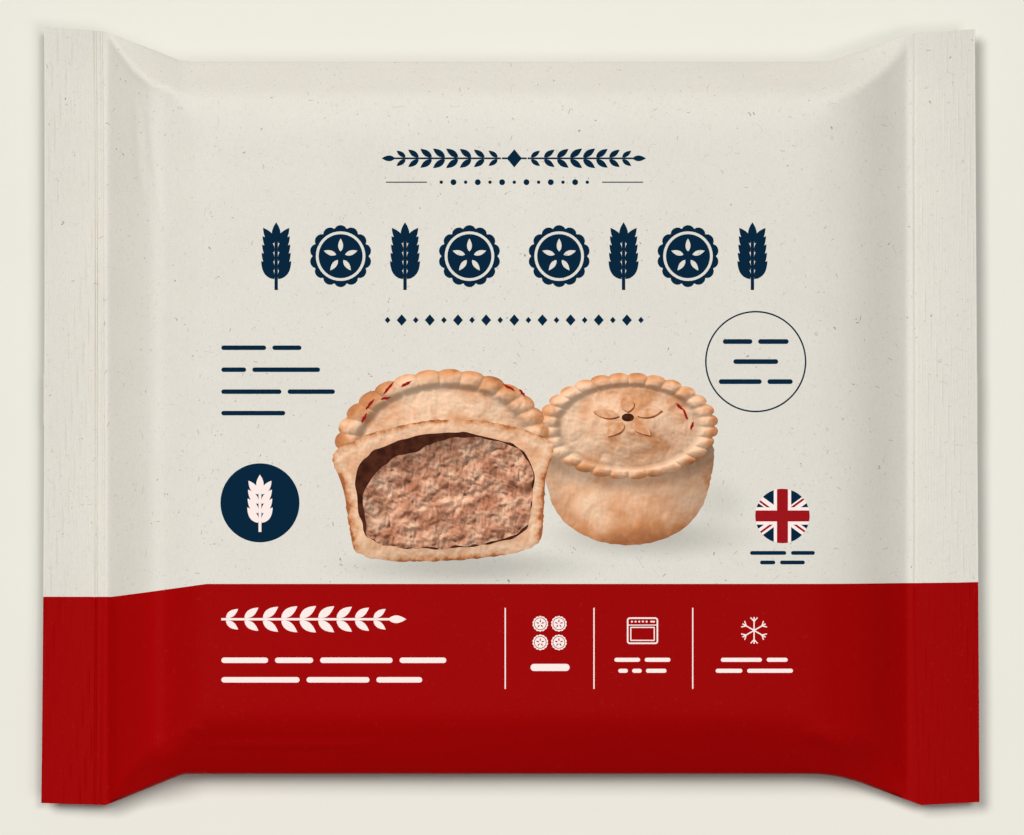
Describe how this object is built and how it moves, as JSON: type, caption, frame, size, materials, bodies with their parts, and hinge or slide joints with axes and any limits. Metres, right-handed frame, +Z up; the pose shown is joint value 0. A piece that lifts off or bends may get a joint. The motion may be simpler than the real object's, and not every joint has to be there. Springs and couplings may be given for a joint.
{
  "type": "flow-wrapped pie pack",
  "caption": "Sealed paper-look flow-wrap pack of small savoury pies, lying on its back, print up, with crimped end seals, round long sides and a fin seal down the back.",
  "frame": {"origin": "on the surface the pack lies on, under the middle of its outline", "axes": "+X from the left end seal to the right one, +Y towards the top of the print, +Z up through the printed face"},
  "size_m": [0.1974, 0.1638, 0.024],
  "materials": {
    "film": "matt paper-look printed film, cream with a red band and dark blue print"
  },
  "bodies": {
    "root": {"pack": "film"}
  },
  "joints": []
}
